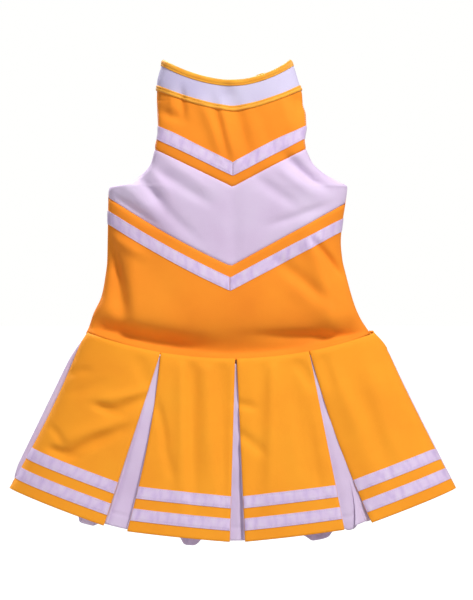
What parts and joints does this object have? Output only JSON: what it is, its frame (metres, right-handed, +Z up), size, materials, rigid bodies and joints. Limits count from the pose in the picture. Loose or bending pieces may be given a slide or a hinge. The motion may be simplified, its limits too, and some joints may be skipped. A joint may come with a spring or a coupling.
{
  "type": "cheer uniform",
  "caption": "Sleeveless high-collared cheer dress with chevron ribbons, a flared box-pleated skirt over contrast inserts, and a centre back zip.",
  "frame": {"origin": "middle of the neck, level with the collar's base seam at the sides", "axes": "+Z up along the hanging dress, -Y out of its front, +X to the right seen from the front"},
  "size_m": [0.5622, 0.1447, 0.6068],
  "materials": {
    "lining": "plain woven facing",
    "metal": "nickel plated",
    "orange_braid": "corded braid",
    "orange_knit": "matte stretch knit",
    "orange_pleat": "matte knit with pressed pleats",
    "white_knit": "matte stretch knit",
    "white_ribbon": "satin ribbon",
    "zip_coil": "nylon coil",
    "zip_tape": "woven zip tape"
  },
  "bodies": {
    "dress": {"armhole_facing_left": "lining", "armhole_facing_right": "lining", "back_insert_1": "white_knit", "back_insert_2": "white_knit", "back_insert_3": "white_knit", "back_panel_left": "orange_knit", "back_panel_right": "orange_knit", "collar_band": "white_knit", "collar_base_braid": "orange_braid", "collar_lining": "lining", "collar_top_braid": "orange_braid", "front_body_panel": "orange_knit", "front_chest_panel": "white_knit", "front_insert_1": "white_knit", "front_insert_2": "white_knit", "front_insert_3": "white_knit", "front_yoke": "orange_knit", "lower_chevron_ribbon_left": "white_ribbon", "lower_chevron_ribbon_right": "white_ribbon", "neck_eye": "metal", "neck_hook": "metal", "side_insert_left": "white_knit", "side_insert_right": "white_knit", "upper_chevron_ribbon_left": "white_ribbon", "upper_chevron_ribbon_right": "white_ribbon", "waist_stay_tape": "lining", "zip_bottom_stop": "metal", "zip_coil_left": "zip_coil", "zip_coil_right": "zip_coil", "zip_tape_left": "zip_tape", "zip_tape_right": "zip_tape", "zip_top_stop_left": "metal", "zip_top_stop_right": "metal"},
    "back_pleat_1": {"back_pleat_1_lower_ribbon": "white_ribbon", "back_pleat_1_panel": "orange_pleat", "back_pleat_1_upper_ribbon": "white_ribbon"},
    "back_pleat_2": {"back_pleat_2_lower_ribbon": "white_ribbon", "back_pleat_2_panel": "orange_pleat", "back_pleat_2_upper_ribbon": "white_ribbon"},
    "back_pleat_3": {"back_pleat_3_lower_ribbon": "white_ribbon", "back_pleat_3_panel": "orange_pleat", "back_pleat_3_upper_ribbon": "white_ribbon"},
    "back_pleat_4": {"back_pleat_4_lower_ribbon": "white_ribbon", "back_pleat_4_panel": "orange_pleat", "back_pleat_4_upper_ribbon": "white_ribbon"},
    "front_pleat_1": {"front_pleat_1_lower_ribbon": "white_ribbon", "front_pleat_1_panel": "orange_pleat", "front_pleat_1_upper_ribbon": "white_ribbon"},
    "front_pleat_2": {"front_pleat_2_lower_ribbon": "white_ribbon", "front_pleat_2_panel": "orange_pleat", "front_pleat_2_upper_ribbon": "white_ribbon"},
    "front_pleat_3": {"front_pleat_3_lower_ribbon": "white_ribbon", "front_pleat_3_panel": "orange_pleat", "front_pleat_3_upper_ribbon": "white_ribbon"},
    "front_pleat_4": {"front_pleat_4_lower_ribbon": "white_ribbon", "front_pleat_4_panel": "orange_pleat", "front_pleat_4_upper_ribbon": "white_ribbon"},
    "zip_slider": {"zip_slider_body": "metal"},
    "zip_pull": {"zip_pull_tab": "metal"}
  },
  "joints": [
    {"name": "back_pleat_1_swing", "type": "hinge", "parent": "dress", "child": "back_pleat_1", "pos_m": [-0.14223, 0.03173, -0.30604], "axis": [0.9221, 0.2972, -0.2479], "range_deg": [0, 15]},
    {"name": "back_pleat_2_swing", "type": "hinge", "parent": "dress", "child": "back_pleat_2", "pos_m": [-0.04752, 0.036, -0.32292], "axis": [0.9956, 0.0186, -0.092], "range_deg": [0, 15]},
    {"name": "back_pleat_3_swing", "type": "hinge", "parent": "dress", "child": "back_pleat_3", "pos_m": [0.04987, 0.03598, -0.32236], "axis": [0.9949, -0.0211, 0.0985], "range_deg": [0, 15]},
    {"name": "back_pleat_4_swing", "type": "hinge", "parent": "dress", "child": "back_pleat_4", "pos_m": [0.14399, 0.03103, -0.30549], "axis": [0.9144, -0.3149, 0.2542], "range_deg": [0, 15]},
    {"name": "front_pleat_1_swing", "type": "hinge", "parent": "dress", "child": "front_pleat_1", "pos_m": [-0.14252, -0.0358, -0.3062], "axis": [-0.9104, 0.3347, 0.2434], "range_deg": [0, 15]},
    {"name": "front_pleat_2_swing", "type": "hinge", "parent": "dress", "child": "front_pleat_2", "pos_m": [-0.0422, -0.04106, -0.32301], "axis": [-0.9965, 0.0189, 0.0818], "range_deg": [0, 15]},
    {"name": "front_pleat_3_swing", "type": "hinge", "parent": "dress", "child": "front_pleat_3", "pos_m": [0.05098, -0.0409, -0.32223], "axis": [-0.9946, -0.0254, -0.1007], "range_deg": [0, 15]},
    {"name": "front_pleat_4_swing", "type": "hinge", "parent": "dress", "child": "front_pleat_4", "pos_m": [0.14628, -0.0345, -0.30527], "axis": [-0.8965, -0.3651, -0.2508], "range_deg": [0, 15]},
    {"name": "zip_slide", "type": "slide", "parent": "dress", "child": "zip_slider", "axis": [0, 0, -1], "range_m": [0, 0.316]},
    {"name": "zip_pull_flip", "type": "hinge", "parent": "zip_slider", "child": "zip_pull", "pos_m": [0, 0.0379, 0.007], "axis": [1, 0, 0], "range_deg": [0, 150]}
  ]
}
